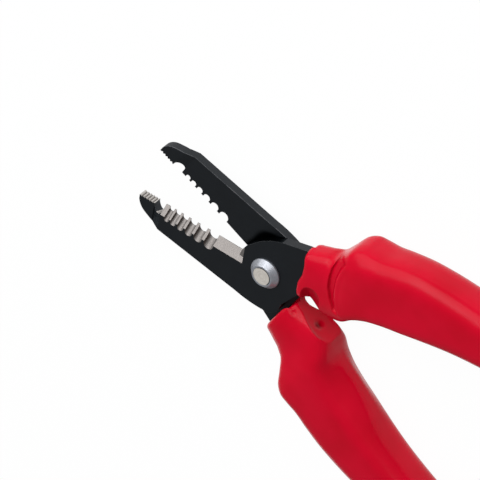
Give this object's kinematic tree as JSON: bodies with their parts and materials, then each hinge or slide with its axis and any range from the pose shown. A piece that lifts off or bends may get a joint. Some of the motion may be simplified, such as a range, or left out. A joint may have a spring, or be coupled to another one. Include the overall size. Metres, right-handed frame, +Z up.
{
  "type": "wire stripper",
  "caption": "Hand wire stripper: two black steel plates crossing at a riveted pivot, with ground stripping notches, a cutter, a serrated nose and red moulded grips.",
  "frame": {"origin": "under the middle of the whole tool at rest, in the plane that the grips lie on", "axes": "+X towards the nose along the line between the open jaws, +Z up out of the front plate's outer face, +Y towards the front plate's jaw"},
  "size_m": [0.1658, 0.106, 0.0182],
  "materials": {
    "black_oxide_steel": "black oxide, satin, with ground bright strip edges",
    "red_vinyl": "glossy moulded vinyl",
    "turned_steel": "faced on the lathe, fine concentric marks",
    "polished_steel": "turned and polished bevel"
  },
  "bodies": {
    "rear_half": {"rear_blade": "black_oxide_steel", "rear_grip": "red_vinyl", "pivot_pin": "turned_steel", "pivot_collar": "polished_steel"},
    "front_half": {"front_blade": "black_oxide_steel", "front_grip": "red_vinyl"}
  },
  "joints": [
    {"name": "pivot", "type": "hinge", "parent": "rear_half", "child": "front_half", "pos_m": [0.0301, 0, 0.0091], "axis": [0, 0, 1], "range_deg": [-24.7, 12]}
  ]
}
